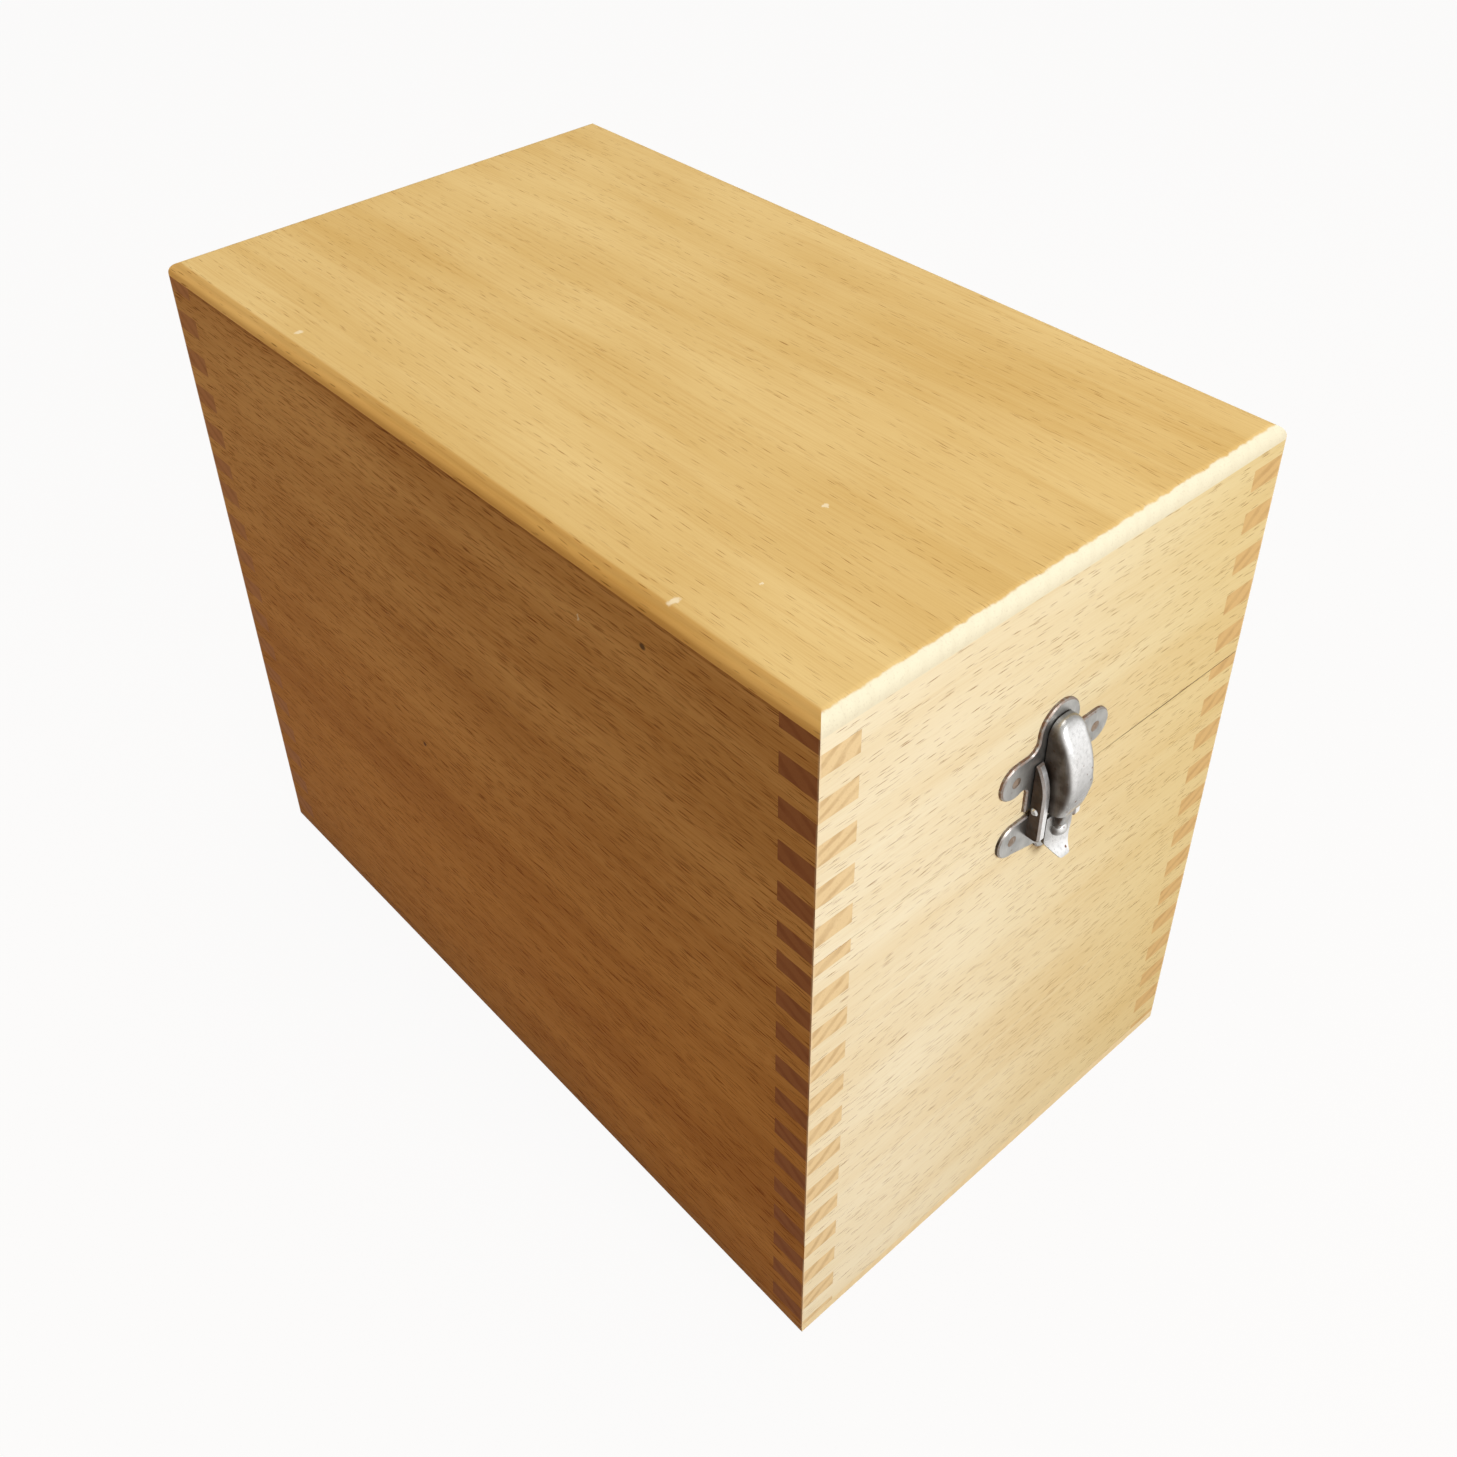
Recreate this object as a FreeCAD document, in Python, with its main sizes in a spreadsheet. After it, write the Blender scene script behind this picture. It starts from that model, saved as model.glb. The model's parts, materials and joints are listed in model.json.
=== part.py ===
import FreeCAD, Part
import math
import os
import re
import Sketcher

# Finger-jointed beech box with a deep hinged lid and a sprung snap latch.
# X is the width, Y the depth with the latch at -Y and the hinges at +Y, Z is up from the floor.

# Driving dimensions in millimetres and degrees
DIMENSIONS = {
    # box
    "box_width": 150.0,
    "box_depth": 257.0,
    "box_height": 214.0,
    "lid_height": 67.1,
    "seam_gap": 0.12,
    "wall_thick": 11.0,
    "top_thick": 4.0,
    "top_round": 3.5,
    "bottom_thick": 3.0,
    # finger joints, cut before the lid was sawn off
    "finger_width": 6.0,
    "first_finger": 3.9,
    "saw_kerf": 2.8,
    # sheet and clearances of the latch
    "plate_thick": 1.0,
    "plate_bevel": 0.35,
    "run_clearance": 0.3,
    "pin_clearance": 0.05,
    # keeper plate on the lid, heights above the seam
    "keeper_waist": 18.4,
    "keeper_ear_span": 27.6,
    "keeper_ear_z": 12.6,
    "keeper_ear_r": 4.9,
    "keeper_arch_r": 6.8,
    "keeper_arch_z": 21.5,
    "keeper_waist_fillet": 2.0,
    "keeper_arch_fillet": 3.0,
    # base plate on the case, drops below the seam
    "base_drop": 1.9,
    "base_ear_span": 25.2,
    "base_ear_r": 4.7,
    "base_lobe_r": 3.0,
    "base_lobe_drop": 13.8,
    "base_lobe_fillet": 2.0,
    # cheeks that carry the pivot
    "cheek_gap": 10.6,
    "cheek_thick": 2.4,
    "cheek_out": 4.7,
    "cheek_bend": 5.0,
    "cheek_tip_out": 2.1,
    "cheek_rise": 13.9,
    "cheek_drop": 8.6,
    "cheek_toe_r": 1.5,
    "cheek_bevel": 0.5,
    # pivot and spring
    "pivot_rise": 0.7,
    "pivot_r": 1.0,
    "pivot_proud": 0.5,
    "pivot_bevel": 0.35,
    "spring_thick": 0.4,
    "spring_width": 4.0,
    "spring_clearance": 0.1,
    # lever
    "hood_width": 9.2,
    "hood_out": 9.2,
    "hood_rise": 24.9,
    "hood_crest": 8.6,
    "hood_drop": 0.6,
    "hood_wall": 1.2,
    "hood_shoulder": 2.2,
    "nose_out": 3.2,
    "nose_r": 3.9,
    "neck_width": 4.0,
    "neck_round": 1.0,
    "neck_rise": 0.2,
    "neck_top_out": 7.4,
    "neck_end_out": 5.7,
    "neck_drop": 7.0,
    "lever_sheet": 0.9,
    "lever_swing": 12.0,
    "lever_relief": 2.0,
    "shield_out": 4.4,
    "shield_rise": 6.8,
    "shield_drop": 9.0,
    "tail_out": 7.5,
    "tail_drop": 15.0,
    "tail_taper_drop": 10.0,
    "tail_point": 0.8,
    "tail_tip_r": 0.8,
    "tail_corner_r": 2.0,
    "knob_r": 2.5,
    "knob_drop": 7.7,
    "hook_width": 3.2,
    "hook_height": 1.3,
    "hook_bite": 0.55,
    # nails
    "nail_r": 0.7,
    "nail_head_r": 1.4,
    "nail_crown": 0.3,
    "nail_length": 9.0,
    # hinges
    "hinge_inset": 30.0,
    "hinge_width": 30.0,
    "leaf_height": 14.0,
    "leaf_thick": 1.2,
    "leaf_corner": 2.0,
    "knuckle_r": 2.3,
    "knuckle_middle": 10.0,
    "knuckle_gap": 0.1,
    "knuckle_standoff": 0.2,
    "hinge_pin_r": 1.2,
    "hinge_pin_bevel": 0.3,
    # screws
    "screw_r": 1.2,
    "screw_head_r": 2.3,
    "screw_length": 9.0,
    "screw_inset": 5.5,
    "screw_drop": 9.0,
    "screw_slot": 0.6,
}

# Derived heights and depths, as expressions on the sheet
FRONT = "(-box_depth / 2)"
BACK = "(box_depth / 2)"
SEAM = "(box_height - lid_height - seam_gap / 2)"
LID_TOP_EDGE = "(box_height - top_thick)"
CASE_TOP_EDGE = "(box_height - lid_height - seam_gap)"
LID_WALL = "(lid_height - top_thick)"
CASE_WALL = "(box_height - lid_height - seam_gap - bottom_thick)"
SAWN_OFF = "(lid_height - top_thick + saw_kerf)"
PIVOT_OUT = "(plate_thick + 2 * spring_clearance + spring_thick + pivot_r)"
RIM_OUT = "(plate_thick + run_clearance)"
HOOK_RISE = "(hood_rise - hook_height - 2 * run_clearance)"
HINGE_AXIS_OUT = "(knuckle_r + knuckle_standoff)"
HINGE_SPACING = "(box_width - 2 * hinge_inset)"
SCREW_SPACING = "(hinge_width - 2 * screw_inset)"
HOOD_R = "(((hood_rise - hood_crest) ^ 2 + (hood_out - nose_out) ^ 2) / (2 * (hood_out - nose_out)))"

SPARE = 1.0
TOLERANCE = 1e-4

doc = FreeCAD.newDocument("DonationBox")
sheet = doc.addObject("Spreadsheet::Sheet", "Sheet")
for row, (alias, size) in enumerate(DIMENSIONS.items(), start=1):
    sheet.set(f"A{row}", alias)
    sheet.set(f"B{row}", str(size))
    sheet.setAlias(f"B{row}", alias)
doc.recompute()

ALIAS = re.compile(r"\b(" + "|".join(DIMENSIONS) + r")\b")


# Expressions and document helpers

def cells(text):
    """Write an expression on sizes so that other objects can read it from the sheet."""
    return ALIAS.sub(r"Sheet.\1", text)


def value(text):
    """Work out an expression on sizes as a number."""
    return float(sheet.evalExpression(cells(text)))


def bind(obj, prop, text):
    """Tie a property to an expression on sizes."""
    obj.setExpression(prop, cells(text))


def place(obj, x, y, z):
    """Tie an object's position to expressions on sizes."""
    for axis, text in zip("xyz", (x, y, z)):
        bind(obj, f"Placement.Base.{axis}", text)


def new_body(label, x="0", y="0", z="0"):
    """Start a body that bears a sub-part's name."""
    body = doc.addObject("PartDesign::Body", label)
    body.Label = label
    place(body, x, y, z)
    return body


def new_sketch(body, role, offset=None):
    """Start a sketch on one of the body's origin planes, moved along its normal by offset."""
    sketch = body.newObject("Sketcher::SketchObject", body.Name + "_sketch")
    plane = next(item for item in body.Origin.OriginFeatures if item.Role == role)
    sketch.AttachmentSupport = [(plane, "")]
    sketch.MapMode = "FlatFace"
    if offset is not None:
        bind(sketch, "AttachmentOffset.Base.z", offset)
    return sketch


def fix_point(sketch, geometry, point, axis, text):
    """Hold one coordinate of a sketch point at an expression on sizes."""
    if text == "0":
        line = -2 if axis == "X" else -1
        sketch.addConstraint(Sketcher.Constraint("PointOnObject", geometry, point, line))
        return
    rule = Sketcher.Constraint("Distance" + axis, -1, 1, geometry, point, value(text))
    index = sketch.addConstraint(rule)
    bind(sketch, f"Constraints[{index}]", text)


def draw_outline(sketch, corners, arcs=None):
    """Draw a closed outline through corners; arcs gives the centre and turn of the round edges."""
    arcs = arcs or {}
    spots = [FreeCAD.Vector(value(x), value(y), 0) for x, y in corners]
    ends = []
    for index, start in enumerate(spots):
        stop = spots[(index + 1) % len(spots)]
        if index not in arcs:
            ends.append((sketch.addGeometry(Part.LineSegment(start, stop)), 1, 2))
            continue
        centre_x, centre_y, turn = arcs[index]
        centre = FreeCAD.Vector(value(centre_x), value(centre_y), 0)
        first, last = (start, stop) if turn == "left" else (stop, start)
        angles = [math.atan2(spot.y - centre.y, spot.x - centre.x) for spot in (first, last)]
        circle = Part.Circle(centre, FreeCAD.Vector(0, 0, 1), (start - centre).Length)
        edge = sketch.addGeometry(Part.ArcOfCircle(circle, *angles))
        ends.append((edge, 1, 2) if turn == "left" else (edge, 2, 1))
    for index, (edge, start, stop) in enumerate(ends):
        after, after_start, _ = ends[(index + 1) % len(ends)]
        sketch.addConstraint(Sketcher.Constraint("Coincident", edge, stop, after, after_start))
        fix_point(sketch, edge, start, "X", corners[index][0])
        fix_point(sketch, edge, start, "Y", corners[index][1])
    for index, (centre_x, centre_y, _) in arcs.items():
        chord = spots[(index + 1) % len(spots)] - spots[index]
        upright = abs(chord.y) > abs(chord.x)
        fix_point(sketch, ends[index][0], 3, "X" if upright else "Y", centre_x if upright else centre_y)


def draw_rectangle(sketch, left, right, low, high):
    """Draw a rectangle between four expressions on sizes."""
    draw_outline(sketch, [(left, low), (right, low), (right, high), (left, high)])


def draw_circle(sketch, x, y, radius):
    """Draw a circle whose centre and radius are expressions on sizes."""
    circle = Part.Circle(FreeCAD.Vector(value(x), value(y), 0), FreeCAD.Vector(0, 0, 1), value(radius))
    edge = sketch.addGeometry(circle)
    fix_point(sketch, edge, 3, "X", x)
    fix_point(sketch, edge, 3, "Y", y)
    index = sketch.addConstraint(Sketcher.Constraint("Radius", edge, value(radius)))
    bind(sketch, f"Constraints[{index}]", radius)


def pad(body, sketch, length, back=False, both=False):
    """Pad a sketch along its normal, against it, or to both sides."""
    feature = body.newObject("PartDesign::Pad", body.Name + "_pad")
    feature.Profile = sketch
    bind(feature, "Length", length)
    feature.Reversed = back
    feature.SideType = "Symmetric" if both else "One side"
    return feature


def pocket(body, sketch, depth=None, back=False, both=False):
    """Cut a sketch to a depth or right through; a plain cut runs against the sketch normal."""
    feature = body.newObject("PartDesign::Pocket", body.Name + "_pocket")
    feature.Profile = sketch
    feature.Reversed = back
    feature.SideType = "Symmetric" if both else "One side"
    if depth is None:
        feature.Type = "ThroughAll"
    else:
        bind(feature, "Length", depth)
    return feature


def mirror(body, feature):
    """Mirror a feature across the body's YZ plane."""
    plane = next(item for item in body.Origin.OriginFeatures if item.Role == "YZ_Plane")
    copy = body.newObject("PartDesign::Mirrored", body.Name + "_mirror")
    copy.Originals = [feature]
    copy.MirrorPlane = (plane, [""])
    body.Tip = copy
    return copy


def round_edges(body, feature, chosen, radius):
    """Fillet the edges of a feature that a test picks out."""
    doc.recompute()
    names = [f"Edge{n}" for n, edge in enumerate(feature.Shape.Edges, start=1) if chosen(edge)]
    fillet = body.newObject("PartDesign::Fillet", body.Name + "_fillet")
    fillet.Base = (feature, names)
    bind(fillet, "Radius", radius)
    return fillet


def bevel_edges(body, feature, chosen, size):
    """Chamfer the edges of a feature that a test picks out."""
    doc.recompute()
    names = [f"Edge{n}" for n, edge in enumerate(feature.Shape.Edges, start=1) if chosen(edge)]
    chamfer = body.newObject("PartDesign::Chamfer", body.Name + "_bevel")
    chamfer.Base = (feature, names)
    bind(chamfer, "Size", size)
    return chamfer


def lies_at(edge, **spots):
    """Say whether every end of an edge, and its middle, has the given coordinates, signs aside."""
    middle = edge.valueAt((edge.FirstParameter + edge.LastParameter) / 2)
    points = [vertex.Point for vertex in edge.Vertexes] + [middle]
    return all(
        abs(abs(getattr(point, axis)) - abs(spot)) < TOLERANCE
        for point in points
        for axis, spot in spots.items()
    )


# Boards of the case and the lid

def first_notch(finger_start):
    """Give the start of the first finger that still shows below a panel's top edge."""
    pitch = "(2 * finger_width)"
    whole = f"(floor((-{finger_start} - finger_width) / {pitch}) + 1)"
    return f"({finger_start} + {pitch} * {whole})"


def wall_panel(label, role, span, height, notch, position, back):
    """Make a wall board with a row of finger notches at both ends."""
    body = new_body(label, *position)
    face = new_sketch(body, role)
    draw_rectangle(face, f"-{span} / 2", f"{span} / 2", f"-{height}", "0")
    pad(body, face, "wall_thick", back=back)
    notches = new_sketch(body, role)
    low = f"-{notch} - finger_width"
    for side in ("-", ""):
        inner = f"{side}({span} / 2 - wall_thick)"
        outer = f"{side}({span} / 2 + {SPARE})"
        left, right = (outer, inner) if side else (inner, outer)
        draw_rectangle(notches, left, right, low, f"-{notch}")
    cut = pocket(body, notches, back=not back)
    rows = body.newObject("PartDesign::LinearPattern", label + "_fingers")
    rows.Originals = [cut]
    rows.Direction = (notches, ["V_Axis"])
    rows.Reversed = True
    rows.Mode = "Spacing"
    bind(rows, "Offset", "2 * finger_width")
    bind(rows, "Occurrences", f"ceil(({height} - {notch}) / (2 * finger_width))")
    body.Tip = rows
    return body


def drill_panel(body, holes, radius, depth, back):
    """Drill pilot holes into the outer face of a front or back wall."""
    sketch = new_sketch(body, "XZ_Plane")
    for x, z in holes:
        draw_circle(sketch, x, z, radius)
    body.Tip = pocket(body, sketch, depth, back=back)


def box_walls(name, height, top_edge, sawn):
    """Make the four walls of the case or the lid, whose pattern starts after the sawn height."""
    end_notch = first_notch(f"(first_finger - {sawn})")
    side_notch = first_notch(f"(first_finger - finger_width - {sawn})")
    left, right = "-box_width / 2", "box_width / 2"
    walls = (
        ("front", "XZ_Plane", "box_width", end_notch, ("0", FRONT, top_edge), True),
        ("back", "XZ_Plane", "box_width", end_notch, ("0", BACK, top_edge), False),
        ("left", "YZ_Plane", "box_depth", side_notch, (left, "0", top_edge), False),
        ("right", "YZ_Plane", "box_depth", side_notch, (right, "0", top_edge), True),
    )
    return {
        side: wall_panel(f"{name}_{side}_panel", role, span, height, notch, position, back)
        for side, role, span, notch, position, back in walls
    }


def flat_board(label, thickness, base):
    """Make a board that covers the whole plan of the box."""
    body = new_body(label, "0", "0", base)
    plan = new_sketch(body, "XY_Plane")
    draw_rectangle(plan, "-box_width / 2", "box_width / 2", "-box_depth / 2", "box_depth / 2")
    return body, pad(body, plan, thickness)


def lid_top_board():
    """Make the lid's top board with its upper edges rounded over."""
    body, board = flat_board("lid_top_board", "top_thick", LID_TOP_EDGE)
    round_edges(body, board, lambda edge: lies_at(edge, z=value("top_thick")), "top_round")
    return body


# Nails and screws, each modelled once along Z with its head at the top

def turned_master(name, corners):
    """Revolve half of a profile about Z."""
    body = new_body(name)
    half = new_sketch(body, "XZ_Plane")
    draw_outline(half, corners)
    turned = body.newObject("PartDesign::Revolution", name + "_turned")
    turned.Profile = half
    turned.ReferenceAxis = (half, ["V_Axis"])
    turned.Angle = 360
    return body


def nail_master():
    """Make a nail with a countersunk, slightly raised head."""
    drop = "(nail_head_r - nail_r)"
    corners = [
        ("0", "nail_crown"),
        ("0", f"-{drop} - nail_length"),
        ("nail_r", f"-{drop} - nail_length + 2 * nail_r"),
        ("nail_r", f"-{drop}"),
        ("nail_head_r", "0"),
    ]
    return turned_master("nail", corners)


def screw_master():
    """Make a slotted countersunk wood screw."""
    drop = "(screw_head_r - screw_r)"
    corners = [
        ("0", "0"),
        ("0", f"-{drop} - screw_length"),
        ("screw_r", f"-{drop} - screw_length + 2 * screw_r"),
        ("screw_r", f"-{drop}"),
        ("screw_head_r", "0"),
    ]
    body = turned_master("screw", corners)
    slot = new_sketch(body, "XY_Plane")
    draw_rectangle(slot, "-screw_head_r * 2", "screw_head_r * 2", "-screw_slot / 2", "screw_slot / 2")
    pocket(body, slot, "screw_slot")
    return body


def fastener_group(label, master, spots, tilt):
    """Gather linked copies of a fastener, turned about X, in one sub-part."""
    links = []
    for index, spot in enumerate(spots, start=1):
        link = doc.addObject("App::Link", f"{label}_{index}")
        link.LinkedObject = master
        link.Placement.Rotation = FreeCAD.Rotation(FreeCAD.Vector(1, 0, 0), tilt)
        place(link, *spot)
        links.append(link)
    group = doc.addObject("Part::Compound", label)
    group.Label = label
    group.Links = links
    return group


def countersink(body, spots, shank, head, surface, tilt):
    """Cut countersunk holes, open towards the head side, through a plate."""
    for x, z in spots:
        cone = body.newObject("PartDesign::SubtractiveCone", body.Name + "_countersink")
        plane = next(item for item in body.Origin.OriginFeatures if item.Role == "XZ_Plane")
        cone.AttachmentSupport = [(plane, "")]
        cone.MapMode = "FlatFace"
        bind(cone, "Radius1", f"{shank} + pin_clearance")
        bind(cone, "Radius2", f"{head} + pin_clearance")
        bind(cone, "Height", f"{head} - {shank}")
        bind(cone, "AttachmentOffset.Base.x", x)
        bind(cone, "AttachmentOffset.Base.y", z)
        step = f"{surface} - {head} + {shank}" if tilt > 0 else f"-({surface}) + {head} - {shank}"
        bind(cone, "AttachmentOffset.Base.z", step)
        if tilt < 0:
            cone.AttachmentOffset.Rotation = FreeCAD.Rotation(FreeCAD.Vector(1, 0, 0), 180)
        body.Tip = cone


def drill_plate(body, spots, radius, outward):
    """Drill round holes through a plate that lies on the XZ plane."""
    sketch = new_sketch(body, "XZ_Plane")
    for x, z in spots:
        draw_circle(sketch, x, z, radius)
    body.Tip = pocket(body, sketch, back=outward)


# Snap latch

def plate_blank(label, corners, arcs, bends):
    """Pad a plate outline outwards, then round its inner bends and bevel its front rim."""
    body = new_body(label, "0", FRONT, SEAM)
    outline = new_sketch(body, "XZ_Plane")
    draw_outline(outline, corners, arcs)
    feature = pad(body, outline, "plate_thick")
    for x, z, radius in bends:
        spot = {"x": value(x), "z": value(z)}
        feature = round_edges(body, feature, lambda edge: lies_at(edge, **spot), radius)
    front = value("plate_thick")
    return body, bevel_edges(body, feature, lambda edge: lies_at(edge, y=front), "plate_bevel")


def nail_spots(span, height):
    """Give the two ear holes of a latch plate."""
    return [(f"-{span} / 2", height), (f"{span} / 2", height)]


def keeper_plate():
    """Make the upper latch plate: waist, two ears, arched head and the slot for the lever's hook."""
    waist, ear, low = "keeper_waist / 2", "keeper_ear_span / 2", "seam_gap"
    ear_top = "keeper_ear_z + keeper_ear_r"
    reach = "(keeper_ear_span / 2 - keeper_waist / 2)"
    ear_foot = f"keeper_ear_z - sqrt(keeper_ear_r ^ 2 - {reach} ^ 2)"
    half = [
        (waist, low),
        (waist, ear_foot),
        (ear, ear_top),
        ("keeper_arch_r", ear_top),
        ("keeper_arch_r", "keeper_arch_z"),
    ]
    corners = half + [(f"-({x})", z) for x, z in reversed(half)]
    arcs = {
        1: (ear, "keeper_ear_z", "left"),
        4: ("0", "keeper_arch_z", "left"),
        7: (f"-({ear})", "keeper_ear_z", "left"),
    }
    bends = [
        (waist, ear_foot, "keeper_waist_fillet"),
        ("keeper_arch_r", ear_top, "keeper_arch_fillet"),
    ]
    body, _ = plate_blank("latch_keeper_plate", corners, arcs, bends)
    slot = new_sketch(body, "XZ_Plane")
    draw_rectangle(
        slot,
        "-hook_width / 2 - run_clearance",
        "hook_width / 2 + run_clearance",
        f"{HOOK_RISE} - run_clearance",
        f"{HOOK_RISE} + hook_height + 2 * run_clearance",
    )
    body.Tip = pocket(body, slot, back=True)
    spots = nail_spots("keeper_ear_span", "keeper_ear_z")
    drill_plate(body, spots, "nail_r + pin_clearance", True)
    countersink(body, spots, "nail_r", "nail_head_r", "plate_thick", 1)
    return body


def base_plate():
    """Make the lower latch plate with its two ears, pointed lobe and upright cheeks."""
    ear, top = "base_ear_span / 2", "-base_drop"
    ear_z = "-base_drop - base_ear_r"
    ear_low = "-base_drop - 2 * base_ear_r"
    corners = [
        (f"-({ear})", top),
        (f"-({ear})", ear_low),
        ("-base_lobe_r", "-base_lobe_drop"),
        ("base_lobe_r", "-base_lobe_drop"),
        (ear, ear_low),
        (ear, top),
    ]
    arcs = {
        0: (f"-({ear})", ear_z, "left"),
        2: ("0", "-base_lobe_drop", "left"),
        4: (ear, ear_z, "left"),
    }
    bends = [("base_lobe_r", "-base_lobe_drop", "base_lobe_fillet")]
    body, _ = plate_blank("latch_base_plate", corners, arcs, bends)
    cheek = new_sketch(body, "YZ_Plane", "cheek_gap / 2")
    root = "-plate_thick / 2"
    lean, rise = "(cheek_out - cheek_tip_out)", "(cheek_rise - cheek_bend)"
    sweep = f"(({rise} ^ 2 + {lean} ^ 2) / (2 * {lean}))"
    toe_out, toe_top = "-(cheek_out - cheek_toe_r)", "-cheek_drop + cheek_toe_r"
    draw_outline(
        cheek,
        [
            (root, "-cheek_drop"),
            (root, f"{top} - run_clearance"),
            (f"-{RIM_OUT}", f"{top} - run_clearance"),
            (f"-{RIM_OUT}", "cheek_rise"),
            ("-cheek_tip_out", "cheek_rise"),
            ("-cheek_out", "cheek_bend"),
            ("-cheek_out", toe_top),
            (toe_out, "-cheek_drop"),
        ],
        {
            4: (f"{sweep} - cheek_out", "cheek_bend", "left"),
            6: (toe_out, toe_top, "left"),
        },
    )
    upright = pad(body, cheek, "cheek_thick")
    both = mirror(body, upright)
    tip, low = value("-cheek_tip_out"), value(toe_top)

    def on_front(edge):
        """Say whether an edge borders the front of a cheek above its toe."""
        box = edge.BoundBox
        upright = box.XLength < TOLERANCE < box.ZLength
        return upright and box.YMax < tip + TOLERANCE and box.ZMin > low - TOLERANCE

    eased = bevel_edges(body, both, on_front, "cheek_bevel")
    body.Tip = eased
    bore = new_sketch(body, "YZ_Plane")
    draw_circle(bore, f"-{PIVOT_OUT}", "pivot_rise", "pivot_r + pin_clearance")
    body.Tip = pocket(body, bore, both=True)
    spots = nail_spots("base_ear_span", ear_z)
    drill_plate(body, spots, "nail_r + pin_clearance", True)
    countersink(body, spots, "nail_r", "nail_head_r", "plate_thick", 1)
    return body


def hood_reach(z, inset):
    """Give how far the hood's arched crown stands out at a height, smaller by inset for its hollow."""
    return f"(hood_out - {HOOD_R} + sqrt(({HOOD_R} - {inset}) ^ 2 - ({z} - hood_crest) ^ 2))"


def hood_profile(body, top, low, rim, low_rim, inset):
    """Draw the side view of the hood between two heights, with its arched crown."""
    sketch = new_sketch(body, "YZ_Plane")
    centre = f"-(hood_out - {HOOD_R})"
    draw_outline(
        sketch,
        [
            (f"-({rim})", top),
            (f"-{hood_reach(top, inset)}", top),
            (f"-{hood_reach(low, inset)}", low),
            (f"-({low_rim})", low),
            (f"-({rim})", "pivot_rise"),
        ],
        {1: (centre, "hood_crest", "left")},
    )
    return sketch


def lever_hood(body):
    """Add the hood: an arched box with a round nose and soft shoulders, open towards the plates."""
    relief = "tan(lever_swing * 1 deg + lever_relief * 1 deg)"
    low_rim = f"{RIM_OUT} + {relief} * (pivot_rise + hood_drop)"
    pad(body, hood_profile(body, "hood_rise", "-hood_drop", RIM_OUT, low_rim, "0"), "hood_width", both=True)
    corners = new_sketch(body, "XZ_Plane")
    for side, turn in (("-", "right"), ("", "left")):
        edge, spare = f"{side}(hood_width / 2)", f"{side}(hood_width / 2 + {SPARE})"
        inner = f"{side}(hood_width / 2 - nose_r)"
        draw_outline(
            corners,
            [
                (edge, "hood_rise - nose_r"),
                (inner, "hood_rise"),
                (inner, f"hood_rise + {SPARE}"),
                (spare, f"hood_rise + {SPARE}"),
                (spare, "hood_rise - nose_r"),
            ],
            {0: (inner, "hood_rise - nose_r", turn)},
        )
    nose = pocket(body, corners, both=True)
    middle_y, middle_z, radius = value(f"-(hood_out - {HOOD_R})"), value("hood_crest"), value(HOOD_R)
    low_end = value("-hood_drop")

    def on_crown(edge):
        """Say whether an edge borders the arched crown, its lower end aside."""
        spots = [edge.valueAt(edge.FirstParameter), edge.valueAt(edge.LastParameter)]
        spots.append(edge.valueAt((edge.FirstParameter + edge.LastParameter) / 2))
        reach = [math.hypot(spot.y - middle_y, spot.z - middle_z) for spot in spots]
        return all(abs(r - radius) < TOLERANCE for r in reach) and not lies_at(edge, z=low_end)

    round_edges(body, nose, on_crown, "hood_shoulder")
    top, low = "(hood_rise - nose_r + hood_wall)", f"(-hood_drop - {SPARE})"
    rim = f"{RIM_OUT} - {SPARE}"
    hollow = hood_profile(body, top, low, rim, rim, "hood_wall")
    pocket(body, hollow, "hood_width - 2 * hood_wall", both=True)


def lever_neck(body):
    """Add the neck that runs from the hood's lower end down to the knob on the shield."""
    back = "(shield_out - lever_sheet / 2)"
    half, wall = value("neck_width / 2"), value(back)
    sketch = new_sketch(body, "YZ_Plane")
    draw_outline(
        sketch,
        [
            ("-neck_top_out", "neck_rise"),
            ("-neck_end_out", "-neck_drop"),
            (f"-{back}", "-neck_drop"),
            (f"-{back}", "-shield_drop + shield_rise - lever_sheet"),
            ("-neck_top_out + hood_wall", "neck_rise"),
        ],
    )
    neck = pad(body, sketch, "neck_width", both=True)
    lowest = value("-neck_drop")
    round_edges(
        body,
        neck,
        lambda edge: lies_at(edge, x=half) and edge.BoundBox.ZMin < lowest + TOLERANCE
        and edge.BoundBox.YMax < -wall - TOLERANCE and edge.BoundBox.ZLength > half,
        "neck_round",
    )


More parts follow.
